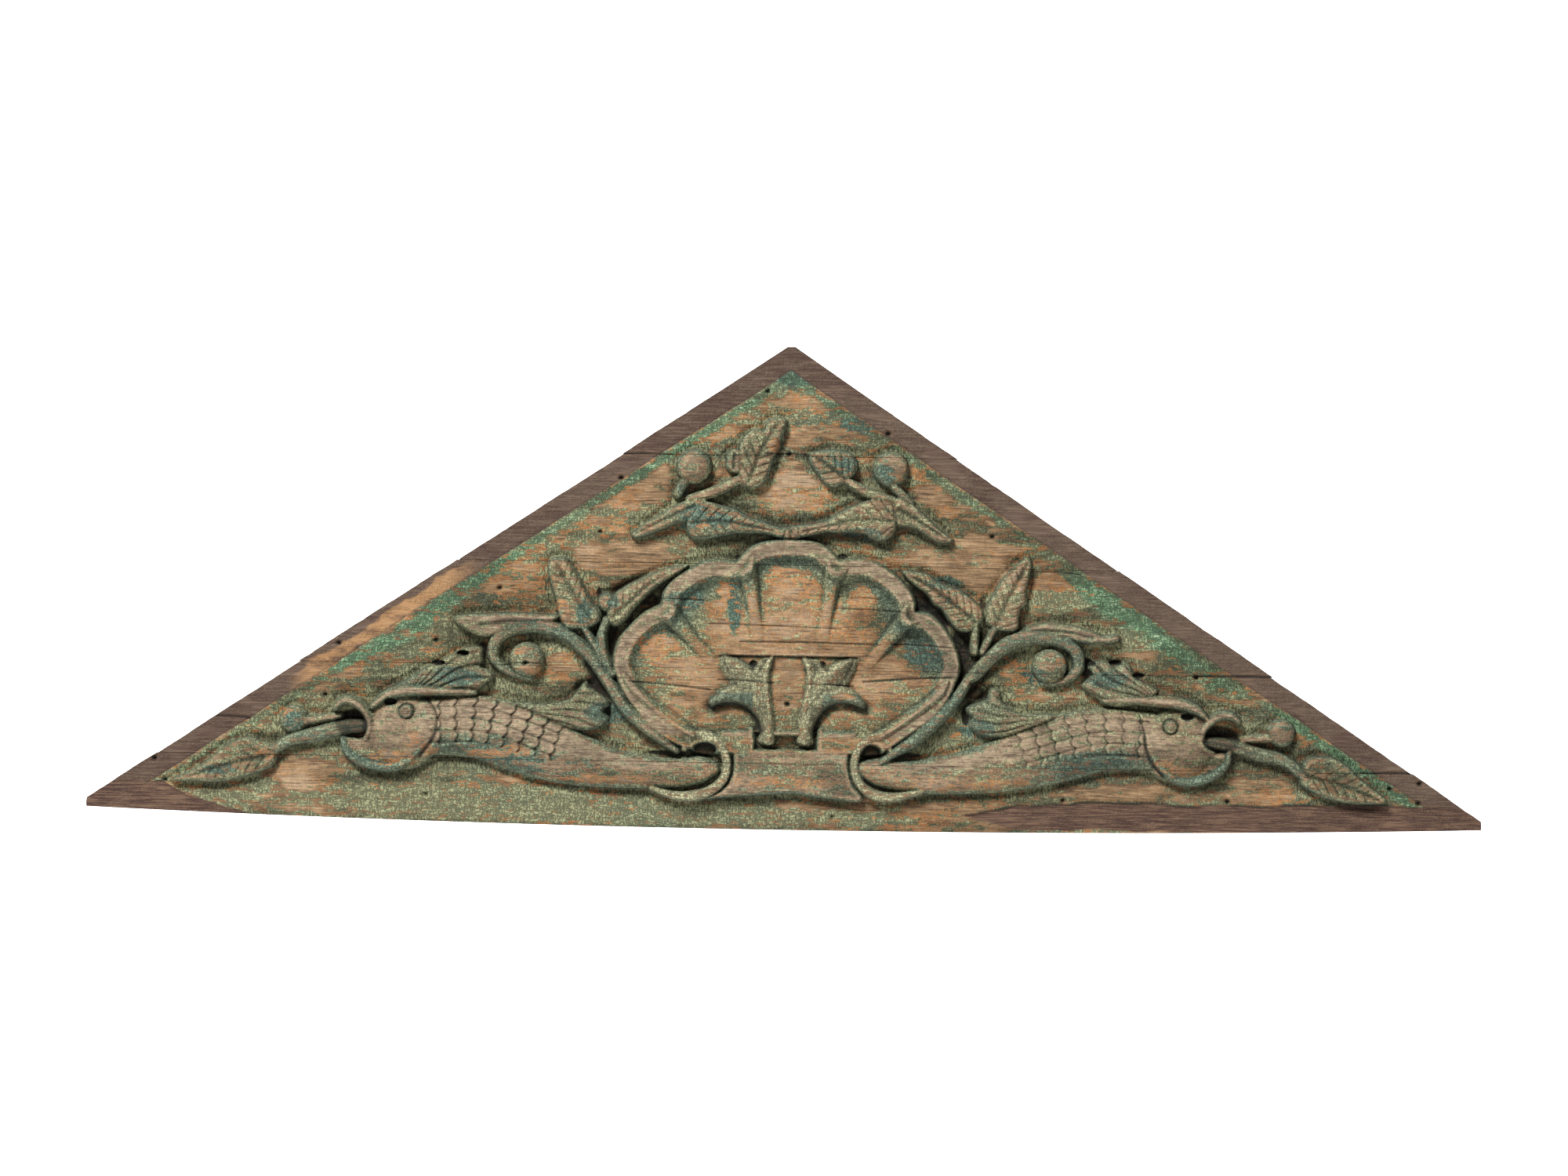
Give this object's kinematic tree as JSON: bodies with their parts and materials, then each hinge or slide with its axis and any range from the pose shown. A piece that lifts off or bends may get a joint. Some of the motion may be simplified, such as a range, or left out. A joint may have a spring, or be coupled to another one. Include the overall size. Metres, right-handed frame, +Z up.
{
  "type": "carved wood pediment",
  "caption": "Low triangular pediment panel of edge-glued pine boards, carved in relief with a scallop shell, fish, leafy scrolls and berries, in worn green paint.",
  "frame": {"origin": "on the flat back at mid-width, 0.23 m above the foot of the bottom board, where the panel is held to its wall", "axes": "+X to the viewer's right along the boards, -Y out of the carved front, +Z up"},
  "size_m": [1.784, 0.077, 0.617],
  "materials": {
    "painted_pine": "worn and crackled sage green paint over orange undercoat on bare weathered pine"
  },
  "bodies": {
    "root": {"bottom_board": "painted_pine", "second_board": "painted_pine", "third_board": "painted_pine", "fourth_board": "painted_pine", "peak_board": "painted_pine"}
  },
  "joints": []
}
